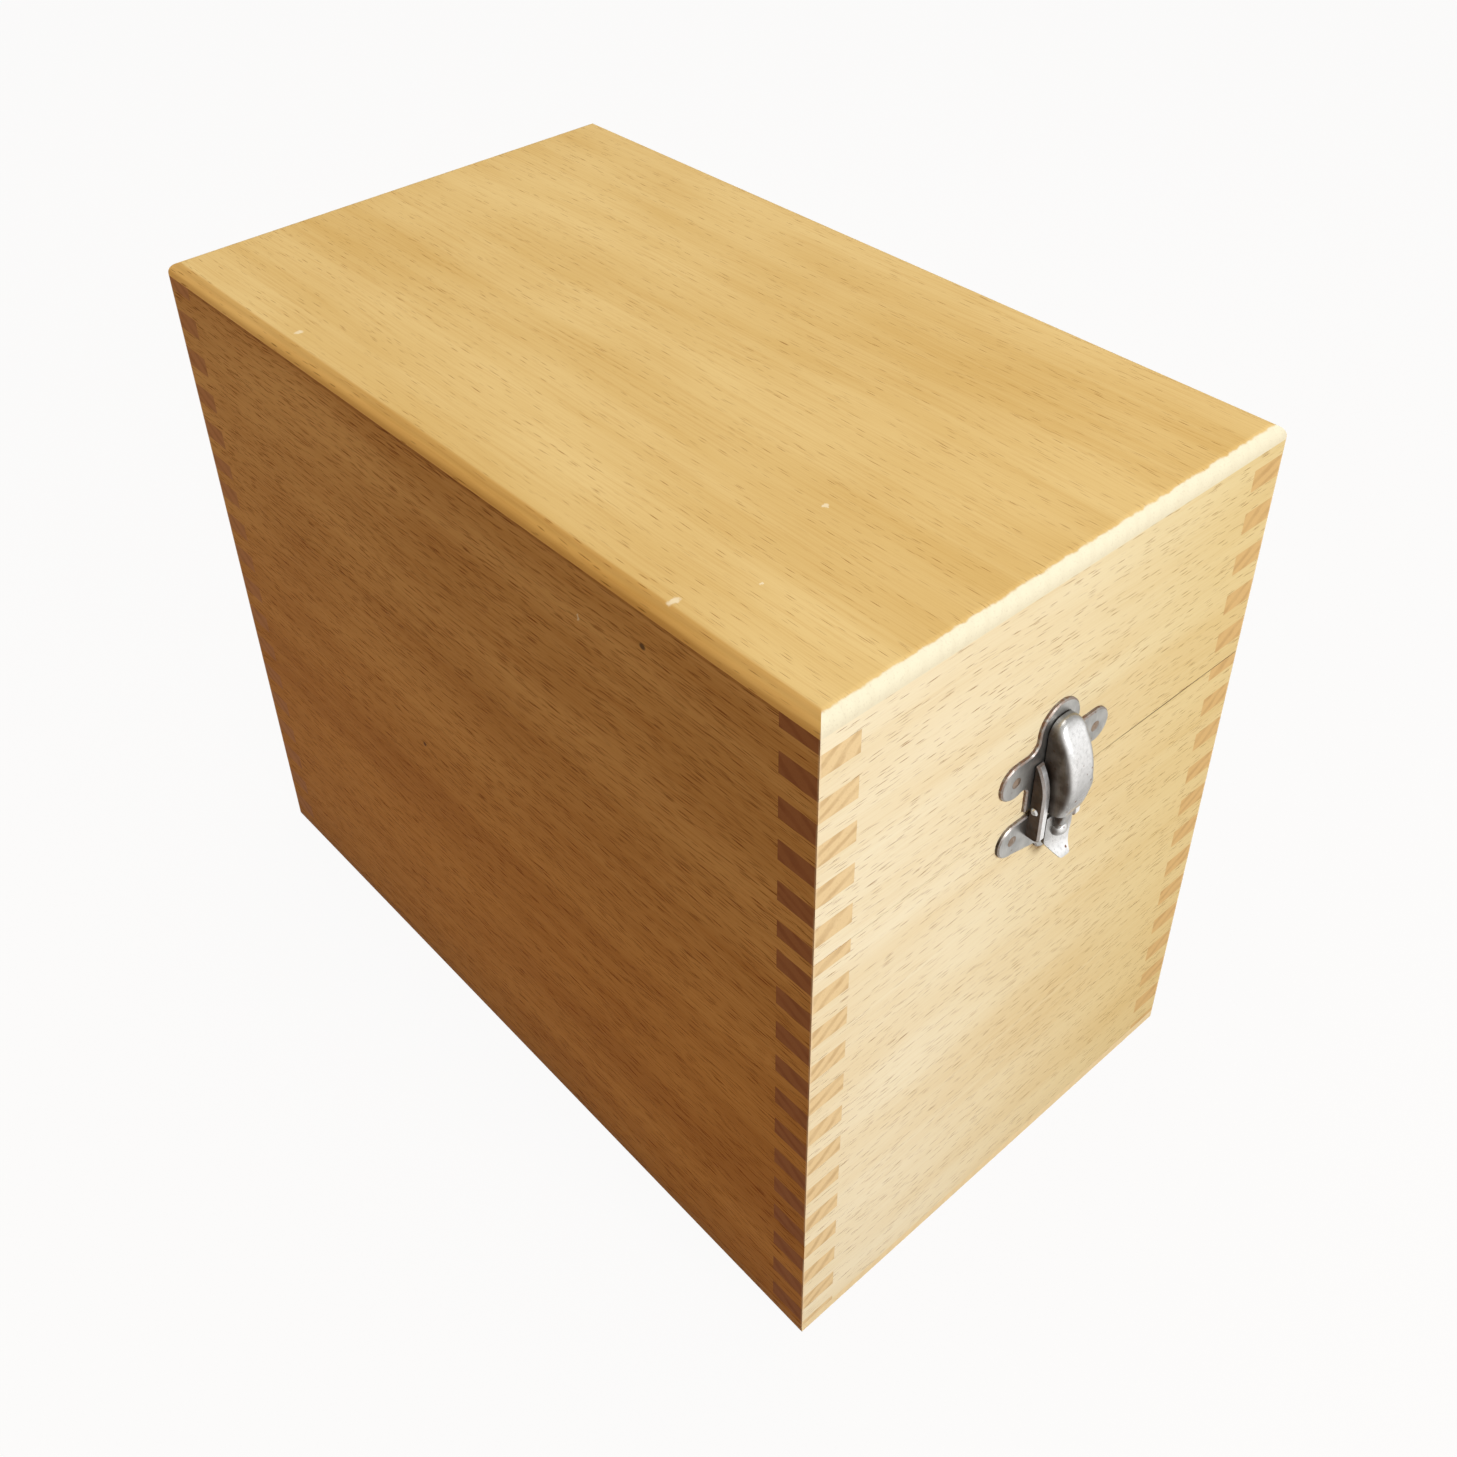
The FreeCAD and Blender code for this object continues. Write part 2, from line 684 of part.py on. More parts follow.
def lever_shield(body):
    """Add the flat shield between the cheeks and the thumb tail that flares out and tapers below it."""
    fall, flare = "(tail_drop - shield_drop)", "(tail_out - shield_out)"
    bend = f"(({fall} ^ 2 + {flare} ^ 2) / (2 * {flare}))"
    back = "(shield_out - lever_sheet)"
    top, half = "-shield_drop + shield_rise", "(cheek_gap / 2 - run_clearance)"
    middle = f"-(shield_out + {bend})"
    profile = new_sketch(body, "YZ_Plane")
    draw_outline(
        profile,
        [
            ("-shield_out", top),
            ("-shield_out", "-shield_drop"),
            ("-tail_out", "-tail_drop"),
            (
                f"-tail_out - lever_sheet / {bend} * ({flare} - {bend})",
                f"-tail_drop - lever_sheet / {bend} * {fall}",
            ),
            (f"-{back}", "-shield_drop"),
            (f"-{back}", top),
        ],
        {1: (middle, "-shield_drop", "right"), 3: (middle, "-shield_drop", "left")},
    )
    pad(body, profile, f"2 * {half}", both=True)
    taper = new_sketch(body, "XZ_Plane")
    end = "-(tail_drop + 2 * lever_sheet)"
    for side in ("-", ""):
        draw_outline(
            taper,
            [
                (f"{side}{half}", "-tail_taper_drop"),
                (f"{side}(tail_point / 2)", end),
                (f"{side}({half} + {SPARE})", end),
                (f"{side}({half} + {SPARE})", "-tail_taper_drop"),
            ],
        )
    tapered = pocket(body, taper, both=True)
    corner_x, corner_z, tip_z = value(half), value("tail_taper_drop"), value("-tail_drop")
    eased = round_edges(
        body, tapered, lambda edge: lies_at(edge, x=corner_x, z=corner_z), "tail_corner_r"
    )
    round_edges(
        body,
        eased,
        lambda edge: edge.BoundBox.ZMax < tip_z + TOLERANCE and edge.BoundBox.ZLength > TOLERANCE,
        "tail_tip_r",
    )


def latch_lever():
    """Make the lever: hollow hood, neck, shield with a knob and thumb tail, hook under its nose."""
    body = new_body("latch_lever", "0", FRONT, SEAM)
    lever_neck(body)
    lever_hood(body)
    lever_shield(body)
    knob = body.newObject("PartDesign::AdditiveSphere", "latch_lever_knob")
    plane = next(item for item in body.Origin.OriginFeatures if item.Role == "XZ_Plane")
    knob.AttachmentSupport = [(plane, "")]
    knob.MapMode = "FlatFace"
    knob.Angle1 = 0
    bind(knob, "Radius", "knob_r")
    bind(knob, "AttachmentOffset.Base.y", "-knob_drop")
    bind(knob, "AttachmentOffset.Base.z", "shield_out - lever_sheet / 2")

    hook = new_sketch(body, "XZ_Plane", "plate_thick - hook_bite")
    draw_rectangle(hook, "-hook_width / 2", "hook_width / 2", HOOK_RISE, f"{HOOK_RISE} + hook_height")
    pad(body, hook, "hook_bite + run_clearance + lever_sheet")

    bore = new_sketch(body, "YZ_Plane")
    draw_circle(bore, f"-{PIVOT_OUT}", "pivot_rise", "pivot_r + pin_clearance")
    body.Tip = pocket(body, bore, both=True)
    return body


def round_pin(label, length, radius, bevel, position):
    """Turn a pin with bevelled ends that lies along X."""
    body = new_body(label, *position)
    half = new_sketch(body, "XY_Plane")
    end, neck = f"{length} / 2", f"({length} / 2 - {bevel})"
    draw_outline(
        half,
        [
            (f"-{end}", "0"),
            (end, "0"),
            (end, f"{radius} - {bevel}"),
            (neck, radius),
            (f"-{neck}", radius),
            (f"-{end}", f"{radius} - {bevel}"),
        ],
    )
    turned = body.newObject("PartDesign::Revolution", label + "_turned")
    turned.Profile = half
    turned.ReferenceAxis = (half, ["H_Axis"])
    turned.Angle = 360
    return body


def latch_spring():
    """Bend the hairpin spring round the pivot, one leg on the plate and one behind the shield."""
    body = new_body("latch_spring", "0", FRONT, SEAM)
    profile = new_sketch(body, "YZ_Plane")
    outer = "(pivot_r + spring_clearance + spring_thick)"
    inner = "(pivot_r + spring_clearance)"
    foot = "-shield_drop / 2"
    tip, knee = "-shield_drop + lever_sheet / 2", "-shield_drop + shield_rise + spring_thick"
    tip_out = "(shield_out - lever_sheet - spring_clearance)"
    draw_outline(
        profile,
        [
            (f"-{PIVOT_OUT} + {outer}", foot),
            (f"-{PIVOT_OUT} + {outer}", "pivot_rise"),
            (f"-{PIVOT_OUT} - {outer}", "pivot_rise"),
            (f"-{tip_out}", knee),
            (f"-{tip_out}", tip),
            (f"-{tip_out} + spring_thick", tip),
            (f"-{tip_out} + spring_thick", knee),
            (f"-{PIVOT_OUT} - {inner}", "pivot_rise"),
            (f"-{PIVOT_OUT} + {inner}", "pivot_rise"),
            (f"-{PIVOT_OUT} + {inner}", foot),
        ],
        {
            1: (f"-{PIVOT_OUT}", "pivot_rise", "left"),
            7: (f"-{PIVOT_OUT}", "pivot_rise", "right"),
        },
    )
    pad(body, profile, "spring_width", both=True)
    return body


# Butt hinges on the back wall

def hinge_leaf(label, x, up):
    """Make one hinge leaf, above the axis for the lid or below it for the case."""
    body = new_body(label, x, BACK, SEAM)
    sign = "" if up else "-"
    half, inner = "hinge_width / 2", "knuckle_middle / 2"
    shy = f"{HINGE_AXIS_OUT} + run_clearance"
    near, clear, far = f"{sign}(seam_gap / 2)", f"{sign}({shy})", f"{sign}leaf_height"
    middle_edge, side_edge = (near, clear) if up else (clear, near)
    neck = inner if up else f"({inner} + knuckle_gap)"
    outline = new_sketch(body, "XZ_Plane")
    draw_outline(
        outline,
        [
            (f"-{half}", far),
            (f"-{half}", side_edge),
            (f"-{neck}", side_edge),
            (f"-{neck}", middle_edge),
            (neck, middle_edge),
            (neck, side_edge),
            (half, side_edge),
            (half, far),
        ],
    )
    plate = pad(body, outline, "leaf_thick", back=True)
    corner_x, corner_z = value(half), value("leaf_height")
    round_edges(body, plate, lambda edge: lies_at(edge, x=corner_x, z=corner_z), "leaf_corner")
    if up:
        barrel = new_sketch(body, "YZ_Plane")
        draw_circle(barrel, HINGE_AXIS_OUT, "0", "knuckle_r")
        pad(body, barrel, "knuckle_middle", both=True)
    else:
        barrel = new_sketch(body, "YZ_Plane", neck)
        draw_circle(barrel, HINGE_AXIS_OUT, "0", "knuckle_r")
        mirror(body, pad(body, barrel, f"{half} - {neck}"))
    bore = new_sketch(body, "YZ_Plane")
    draw_circle(bore, HINGE_AXIS_OUT, "0", "hinge_pin_r + pin_clearance")
    body.Tip = pocket(body, bore, both=True)
    spots = [(f"{side}{SCREW_SPACING} / 2", f"{sign}screw_drop") for side in ("-", "")]
    drill_plate(body, spots, "screw_r + pin_clearance", False)
    countersink(body, spots, "screw_r", "screw_head_r", "leaf_thick", -1)
    return body


def hinge_screw_spots(sign):
    """Give the heads of the screws of both hinges in the lid or the case."""
    surface = f"{BACK} + leaf_thick"
    return [
        (f"{hinge}{HINGE_SPACING} / 2 + {side}{SCREW_SPACING} / 2", surface, f"{SEAM} {sign} screw_drop")
        for hinge in ("-", "")
        for side in ("-1 * ", "")
    ]


def front_nail_spots(span, height):
    """Give the heads of the nails of one latch plate."""
    surface = f"{FRONT} - plate_thick"
    return [(x, surface, f"{SEAM} + {z}") for x, z in nail_spots(span, height)]


# Assembly

case = box_walls("case", CASE_WALL, CASE_TOP_EDGE, SAWN_OFF)
lid = box_walls("lid", LID_WALL, LID_TOP_EDGE, "0")
bottom_board, _ = flat_board("bottom_board", "bottom_thick", "0")

KEEPER_EARS = nail_spots("keeper_ear_span", "keeper_ear_z")
BASE_EARS = nail_spots("base_ear_span", "(-base_drop - base_ear_r)")
HINGE_SCREWS = [
    (f"{hinge}{HINGE_SPACING} / 2 + {side}{SCREW_SPACING} / 2", "screw_drop")
    for hinge in ("-", "")
    for side in ("-1 * ", "")
]
NAIL_DEPTH = "nail_length + nail_head_r - nail_r - plate_thick + pin_clearance"
SCREW_DEPTH = "screw_length + screw_head_r - screw_r - leaf_thick + pin_clearance"
LID_TO_SEAM = f"({SEAM} - {LID_TOP_EDGE})"
CASE_TO_SEAM = f"({SEAM} - {CASE_TOP_EDGE})"


def shifted(spots, shift, sign=""):
    """Move hole heights from the seam to a panel's top edge."""
    return [(x, f"{shift} + {sign}{z}") for x, z in spots]


nail_hole, screw_hole = "nail_r + pin_clearance", "screw_r + pin_clearance"
drill_panel(lid["front"], shifted(KEEPER_EARS, LID_TO_SEAM), nail_hole, NAIL_DEPTH, False)
drill_panel(case["front"], shifted(BASE_EARS, CASE_TO_SEAM), nail_hole, NAIL_DEPTH, False)
drill_panel(lid["back"], shifted(HINGE_SCREWS, LID_TO_SEAM), screw_hole, SCREW_DEPTH, True)
drill_panel(case["back"], shifted(HINGE_SCREWS, CASE_TO_SEAM, "-1 * "), screw_hole, SCREW_DEPTH, True)

nail, screw = nail_master(), screw_master()
pivot_length = "cheek_gap + 2 * cheek_thick + 2 * pivot_proud"
sub_parts = [*case.values(), bottom_board, *lid.values(), lid_top_board()]
sub_parts += [
    keeper_plate(),
    fastener_group("keeper_nails", nail, front_nail_spots("keeper_ear_span", "keeper_ear_z"), 90),
    base_plate(),
    fastener_group("base_nails", nail, front_nail_spots("base_ear_span", "(-base_drop - base_ear_r)"), 90),
    latch_lever(),
    round_pin(
        "latch_pivot_pin", f"({pivot_length})", "pivot_r", "pivot_bevel",
        ("0", f"{FRONT} - {PIVOT_OUT}", f"{SEAM} + pivot_rise"),
    ),
    latch_spring(),
]
for side, hinge_x in (("left", f"-{HINGE_SPACING} / 2"), ("right", f"{HINGE_SPACING} / 2")):
    sub_parts += [
        hinge_leaf(f"hinge_{side}_case_leaf", hinge_x, False),
        hinge_leaf(f"hinge_{side}_lid_leaf", hinge_x, True),
        round_pin(
            f"hinge_{side}_pin", "hinge_width", "hinge_pin_r", "hinge_pin_bevel",
            (hinge_x, f"{BACK} + {HINGE_AXIS_OUT}", SEAM),
        ),
    ]
sub_parts += [
    fastener_group("hinge_case_screws", screw, hinge_screw_spots("-"), -90),
    fastener_group("hinge_lid_screws", screw, hinge_screw_spots("+"), -90),
]

# Check every object, then write each sub-part
doc.recompute()
for item in doc.Objects:
    if "Invalid" in item.State or "Error" in item.State:
        raise RuntimeError(f"{item.Name} failed: {item.State}")
for part in sub_parts:
    if part.Shape.isNull() or not part.Shape.isValid() or part.Shape.Volume <= 0:
        raise RuntimeError(f"{part.Label} has no valid solid")

os.makedirs("parts", exist_ok=True)
for part in sub_parts:
    part.Shape.exportStep(f"parts/{part.Label}.step")
    print(f"{part.Label}: {len(part.Shape.Solids)} solids, {part.Shape.Volume:.1f} mm3")
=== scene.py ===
"""Looks of a finger-jointed beech box with a sprung snap latch, shown in a plain pale studio.

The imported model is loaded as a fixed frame. Its boards and fittings are dressed with procedural
finishes here, and the camera, floor and lamps are set up around it.
"""

from __future__ import annotations

import json
import logging
from dataclasses import dataclass
from enum import Enum
from typing import Any, ClassVar, Iterable, Mapping, Sequence, Union

import bpy
from mathutils import Euler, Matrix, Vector

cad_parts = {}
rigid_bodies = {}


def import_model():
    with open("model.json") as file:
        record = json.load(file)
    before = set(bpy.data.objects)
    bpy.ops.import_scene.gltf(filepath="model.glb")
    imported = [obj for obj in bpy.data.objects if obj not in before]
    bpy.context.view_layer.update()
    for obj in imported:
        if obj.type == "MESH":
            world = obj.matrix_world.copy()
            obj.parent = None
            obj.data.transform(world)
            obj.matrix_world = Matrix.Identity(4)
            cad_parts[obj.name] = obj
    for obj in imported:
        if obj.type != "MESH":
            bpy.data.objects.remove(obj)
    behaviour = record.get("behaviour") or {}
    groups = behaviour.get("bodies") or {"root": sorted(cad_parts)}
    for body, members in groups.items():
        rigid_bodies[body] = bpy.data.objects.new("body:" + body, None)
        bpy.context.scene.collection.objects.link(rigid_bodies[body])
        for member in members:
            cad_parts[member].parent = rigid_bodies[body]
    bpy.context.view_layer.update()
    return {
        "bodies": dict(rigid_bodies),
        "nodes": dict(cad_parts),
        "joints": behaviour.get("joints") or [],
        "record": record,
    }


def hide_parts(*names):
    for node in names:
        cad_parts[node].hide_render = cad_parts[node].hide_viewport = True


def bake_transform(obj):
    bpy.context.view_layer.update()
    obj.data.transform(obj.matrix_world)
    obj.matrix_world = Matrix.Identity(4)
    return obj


LOG = logging.getLogger("donation_box")
MM = 0.001

Triple = tuple[float, float, float]
Colour = Triple
Number = Union[int, float]
WHITE: Colour = (1.0, 1.0, 1.0)
Input = Union["Signal", bpy.types.NodeSocket, Number, Sequence[float]]


def srgb(red: int, green: int, blue: int) -> Colour:
    """Turn a display colour into the linear colour that shaders use.

    Args:
        red: Red from 0 to 255.
        green: Green from 0 to 255.
        blue: Blue from 0 to 255.

    Returns:
        The linear red, green and blue.
    """
    def linear(channel: int) -> float:
        """Return one channel without its display curve."""
        level = channel / 255
        return level / 12.92 if level <= 0.04045 else ((level + 0.055) / 1.055) ** 2.4

    return linear(red), linear(green), linear(blue)


def toned(colour: Colour, share: float) -> Colour:
    """Return a colour made lighter or darker by a share."""
    red, green, blue = colour
    return red * share, green * share, blue * share


class Grain(Enum):
    """How a board lies: the axes along its grain, across its width and through its thickness."""

    END_WALL = ("X", "Z", "Y")
    SIDE_WALL = ("Y", "Z", "X")
    FLAT = ("Y", "X", "Z")


class Signal:
    """A shader socket that takes part in ordinary arithmetic."""

    def __init__(self, graph: "Graph", socket: bpy.types.NodeSocket) -> None:
        """Keep the socket and the graph that it belongs to.

        Args:
            graph: The graph that new nodes are added to.
            socket: The output socket that carries the value.
        """
        self.graph = graph
        self.socket = socket

    def _math(self, operation: str, first: Input, second: Input = 0.0) -> "Signal":
        """Add one Math node.

        Args:
            operation: The node's operation.
            first: Its first input.
            second: Its second input.

        Returns:
            The node's value.
        """
        return self.graph.node("ShaderNodeMath", {"operation": operation}, {0: first, 1: second})

    def __add__(self, other: Input) -> "Signal":
        """Return self + other."""
        return self._math("ADD", self, other)

    def __radd__(self, other: Input) -> "Signal":
        """Return other + self."""
        return self._math("ADD", other, self)

    def __sub__(self, other: Input) -> "Signal":
        """Return self - other."""
        return self._math("SUBTRACT", self, other)

    def __rsub__(self, other: Input) -> "Signal":
        """Return other - self."""
        return self._math("SUBTRACT", other, self)

    def __mul__(self, other: Input) -> "Signal":
        """Return self * other."""
        return self._math("MULTIPLY", self, other)

    def __rmul__(self, other: Input) -> "Signal":
        """Return other * self."""
        return self._math("MULTIPLY", other, self)

    def __truediv__(self, other: Input) -> "Signal":
        """Return self / other."""
        return self._math("DIVIDE", self, other)

    def __rtruediv__(self, other: Input) -> "Signal":
        """Return other / self."""
        return self._math("DIVIDE", other, self)

    def __abs__(self) -> "Signal":
        """Return the size of self without its sign."""
        return self._math("ABSOLUTE", self)

    def larger(self, other: Input) -> "Signal":
        """Return the larger of self and other."""
        return self._math("MAXIMUM", self, other)

    def floor(self) -> "Signal":
        """Return the whole number at or below self."""
        return self._math("FLOOR", self)

    def sine(self) -> "Signal":
        """Return the sine of self."""
        return self._math("SINE", self)

    def above(self, low: Number, high: Number) -> "Signal":
        """Return a soft step that rises from 0 at low to 1 at high; it falls if low is the greater.

        Args:
            low: Where the step is 0.
            high: Where the step is 1.

        Returns:
            The step, from 0 to 1.
        """
        start, end = (low, high) if low < high else (high, low)
        limits = (0.0, 1.0) if low < high else (1.0, 0.0)
        return self.graph.node(
            "ShaderNodeMapRange",
            {"interpolation_type": "SMOOTHSTEP"},
            {"Value": self, "From Min": start, "From Max": end,
             "To Min": limits[0], "To Max": limits[1]},
        )


class Graph:
    """A tree of shader nodes that grows by expressions."""

    SEEN_BY: ClassVar[tuple[str, ...]] = ("Camera", "Glossy", "Transmission")

    def __init__(self, tree: bpy.types.NodeTree) -> None:
        """Keep the tree's nodes and links.

        Args:
            tree: The tree of a material or a world.
        """
        self.nodes = tree.nodes
        self.links = tree.links

    def first(self, kind: str) -> bpy.types.Node:
        """Return the tree's first node of a type."""
        return next(node for node in self.nodes if node.type == kind)

    def feed(self, socket: bpy.types.NodeSocket, value: Input) -> None:
        """Link a signal to a socket, or set a plain value on it.

        Args:
            socket: The input socket.
            value: A signal, a socket, a number, a colour or a vector.
        """
        if isinstance(value, Signal):
            self.links.new(value.socket, socket)
        elif isinstance(value, bpy.types.NodeSocket):
            self.links.new(value, socket)
        elif isinstance(value, (int, float)):
            socket.default_value = value
        else:
            short = len(socket.default_value) - len(value)
            socket.default_value = (*value, *([1.0] * short))

    def node(
        self,
        kind: str,
        settings: Mapping[str, Any] | None = None,
        inputs: Mapping[int | str, Input] | None = None,
        output: int | str = 0,
    ) -> Signal:
        """Add one node of any type.

        Args:
            kind: The node's type.
            settings: Properties set before the inputs.
            inputs: Values or links, by socket index or name.
            output: Which output is returned.

        Returns:
            The output as a signal.
        """
        node = self.nodes.new(kind)
        for key, value in (settings or {}).items():
            setattr(node, key, value)
        for key, value in (inputs or {}).items():
            self.feed(node.inputs[key], value)
        return Signal(self, node.outputs[output])

    def blend(self, factor: Input, first: Input, second: Input, how: str = "MIX") -> Signal:
        """Mix two colours.

        Args:
            factor: How far the second colour shows, from 0 to 1.
            first: The first colour.
            second: The second colour.
            how: The blend type.

        Returns:
            The mixed colour.
        """
        settings = {"data_type": "RGBA", "blend_type": how}
        return self.node("ShaderNodeMix", settings, {0: factor, 6: first, 7: second}, 2)

    def vector(self, operation: str, *operands: Input) -> Signal:
        """Add one Vector Math node and return its vector."""
        inputs = dict(enumerate(operands))
        return self.node("ShaderNodeVectorMath", {"operation": operation}, inputs)

    def millimetres(self) -> Signal:
        """Return the place on the object in millimetres of the shared frame."""
        place = self.node("ShaderNodeTexCoord", output="Object")
        return self.vector("MULTIPLY", place, (1 / MM, 1 / MM, 1 / MM))

    def normal(self) -> Signal:
        """Return the direction that the surface faces in the shared frame."""
        return self.node("ShaderNodeTexCoord", output="Normal")

    def axis(self, vector: Signal, name: str) -> Signal:
        """Return one part, X, Y or Z, of a vector."""
        return self.node("ShaderNodeSeparateXYZ", None, {0: vector}, name)

    def noise(self, place: Signal, size: Sequence[float], detail: float = 2.0) -> Signal:
        """Return soft noise from about 0 to 1.

        Args:
            place: Where the noise is read, in millimetres.
            size: The size of its features along each axis, in millimetres.
            detail: How many finer layers it has.

        Returns:
            The noise.
        """
        scaled = self.vector("DIVIDE", place, size)
        inputs = {"Vector": scaled, "Scale": 1.0, "Detail": detail}
        return self.node("ShaderNodeTexNoise", None, inputs)

    def ragged(self, place: Signal, size: float, reach: float) -> Signal:
        """Move a place about by noise, so that a shape read from it gets a ragged outline.

        Args:
            place: The place in millimetres.
            size: The size of the outline's notches, in millimetres.
            reach: How far they reach, in millimetres.

        Returns:
            The moved place.
        """
        scaled = self.vector("DIVIDE", place, (size, size, size))
        inputs = {"Vector": scaled, "Scale": 1.0, "Detail": 3.0}
        colour = self.node("ShaderNodeTexNoise", None, inputs, "Color")
        centred = self.vector("SUBTRACT", colour, (0.5, 0.5, 0.5))
        return self.vector("MULTIPLY_ADD", centred, (2 * reach, 2 * reach, 2 * reach), place)

    def cells(self, place: Signal, size: Sequence[float]) -> tuple[Signal, Signal]:
        """Return scattered cells: the distance to the nearest seed and a random number for it.

        Args:
            place: Where the cells are read, in millimetres.
            size: The size of one cell along each axis, in millimetres.

        Returns:
            The distance in cells, and the seed's number from 0 to 1.
        """
        scaled = self.vector("DIVIDE", place, size)
        inputs = {"Vector": scaled, "Scale": 1.0}
        distance = self.node("ShaderNodeTexVoronoi", None, inputs, "Distance")
        seed = distance.socket.node.outputs["Color"]
        return distance, self.node("ShaderNodeSeparateColor", None, {0: seed}, "Red")

    def scatter(self, number: Signal) -> Signal:
        """Return a random number from 0 to 1 for each whole number."""
        settings = {"noise_dimensions": "1D"}
        return self.node("ShaderNodeTexWhiteNoise", settings, {"W": number}, "Value")

    def seen(self) -> Signal:
        """Return 1 for rays that show a thing to the camera, and 0 for rays that only light."""
        rays = [self.node("ShaderNodeLightPath", output=f"Is {ray} Ray") for ray in self.SEEN_BY]
        return rays[0].larger(rays[1]).larger(rays[2])


class SurfaceGraph(Graph):
    """The node graph of one material, with its Principled surface."""

    def __init__(self, name: str) -> None:
        """Start a material.

        Args:
            name: The material's name.
        """
        self.material = bpy.data.materials.new(name)
        self.material.use_nodes = True
        super().__init__(self.material.node_tree)
        self.surface = self.first("BSDF_PRINCIPLED")

    def bump(self, height: Signal, depth: float) -> None:
        """Raise the surface by a height signal.

        Args:
            height: The height, from 0 to 1.
            depth: What a height of 1 is worth, in millimetres.
        """
        inputs = {"Height": height, "Strength": 1.0, "Distance": depth * MM}
        self.feed(self.surface.inputs["Normal"], self.node("ShaderNodeBump", None, inputs))

    def finish(self, **inputs: Input) -> bpy.types.Material:
        """Set inputs of the Principled surface and return the material.

        Args:
            **inputs: Values by socket name, with an underscore for each space.

        Returns:
            The finished material.
        """
        for name, value in inputs.items():
            self.feed(self.surface.inputs[name.replace("_", " ")], value)
        return self.material


@dataclass(frozen=True)
class Spot:
    """A small mark on a board, also used for the thin line of painted shadow along the lid seam:
    its middle and its reach along each axis, in millimetres.
    """

    centre: Triple
    reach: Triple


@dataclass(frozen=True)
class Fade:
    """A change of a board's tone between two places on one axis of the box, in millimetres."""

    axis: str
    start: float
    end: float
    tint: Colour


@dataclass(frozen=True)
class BeechFinish:
    """Oiled beech: streaks and flecks along the grain, ring lines and dark pores on its ends."""

    name: str
    grain: Grain
    pale: Colour
    deep: Colour
    end: Colour
    offset: Triple = (0.0, 0.0, 0.0)
    fades: tuple[Fade, ...] = ()
    fleck: float = 0.95
    fleck_start: float = 0.1
    fleck_reach: float = 0.2
    fibre: float = 0.22
    end_turn: tuple[float, float] = (0.6, 0.85)
    ring: float = 0.5
    dark_marks_and_seam_shadow: tuple[Spot, ...] = ()
    pale_spots: tuple[Spot, ...] = ()
    FLECK: ClassVar[Colour] = (0.36, 0.19, 0.08)
    FLECK_CELLS: ClassVar[tuple[Triple, ...]] = ((10.0, 0.34, 0.8), (7.0, 0.42, 1.0))
    FLECK_SLIP: ClassVar[float] = 9.0
    FLECK_LEAST: ClassVar[float] = 0.1
    FLECK_RISE: ClassVar[float] = 0.6
    FLECK_EDGE: ClassVar[tuple[float, float]] = (1.0, 0.45)
    FIBRE_SIZE: ClassVar[Triple] = (30.0, 0.42, 0.8)
    BROAD_SIZE: ClassVar[Triple] = (260.0, 15.0, 40.0)
    BLOOM_SIZE: ClassVar[Triple] = (70.0, 45.0, 45.0)
    STREAK_SIZE: ClassVar[Triple] = (190.0, 2.6, 9.0)
    WANDER_SIZE: ClassVar[Triple] = (110.0, 34.0, 60.0)
    WANDER_ACROSS: ClassVar[float] = 7.0
    WANDER_THROUGH: ClassVar[float] = 3.0
    RING_SLOPE: ClassVar[float] = -0.55
    RING_PITCH: ClassVar[float] = 1.35
    RING: ClassVar[Colour] = (0.60, 0.47, 0.37)
    PORE: ClassVar[Colour] = (0.62, 0.52, 0.44)
    DARK_MARK_AND_SEAM_SHADOW: ClassVar[Colour] = (0.05, 0.025, 0.012)
    CHIP: ClassVar[Colour] = (0.86, 0.74, 0.50)
    ARRIS_WEAR_AND_HIGHLIGHT: ClassVar[Colour] = (0.88, 0.72, 0.46)
    ARRIS_SIDE: ClassVar[tuple[float, float]] = (74.3, 74.95)
    ARRIS_END: ClassVar[tuple[float, float]] = (127.8, 128.45)
    SHEEN_LEVEL: ClassVar[float] = 0.04
    RELIEF: ClassVar[float] = 0.04

    def _board_place(self, graph: Graph, place: Signal) -> Signal:
        """Turn a place into along-grain, across-width and through-thickness parts.

        Args:
            graph: The material's graph.
            place: The place in millimetres.

        Returns:
            The place in the board's own directions, shifted by the board's offset.
        """
        along, across, through = (graph.axis(place, name) for name in self.grain.value)
        turned = graph.node("ShaderNodeCombineXYZ", None, {0: along, 1: across, 2: through})
        return graph.vector("ADD", turned, self.offset)

    def _flecks(self, graph: Graph, place: Signal) -> Signal:
        """Return the short dark ray flecks that beech shows along its grain.

        Each narrow column of cells slips along the grain by its own amount, so no rows show.

        Args:
            graph: The material's graph.
            place: The place in the board's directions.

        Returns:
            The mask of the flecks.
        """
        mask: Signal | None = None
        for size in self.FLECK_CELLS:
            length, width, _ = size
            slip = graph.scatter((graph.axis(place, "Y") / width).floor())
            shift = graph.node("ShaderNodeCombineXYZ", None, {0: slip * (length * self.FLECK_SLIP)})
            distance, seed = graph.cells(graph.vector("ADD", place, shift), size)
            reach = seed * self.fleck_reach + self.FLECK_LEAST
            shape = (distance / reach).above(*self.FLECK_EDGE)
            layer = shape * seed.above(self.fleck_start, self.fleck_start + self.FLECK_RISE)
            mask = layer if mask is None else mask + layer
        return graph.node("ShaderNodeClamp", None, {"Value": mask})

    @staticmethod
    def _spots(graph: Graph, place: Signal, spots: Iterable[Spot]) -> Signal | None:
        """Return a mask of small marks; the dark ones include the painted shadow of the lid seam.

        Args:
            graph: The material's graph.
            place: The place in millimetres.
            spots: The marks.

        Returns:
            The mask, or None without marks.
        """
        mask: Signal | None = None
        for spot in spots:
            away = graph.vector("SUBTRACT", place, spot.centre)
            scaled = graph.vector("DIVIDE", away, spot.reach)
            settings = {"operation": "LENGTH"}
            length = graph.node("ShaderNodeVectorMath", settings, {0: scaled}, "Value")
            one = length.above(1.0, 0.5)
            mask = one if mask is None else mask + one
        return mask

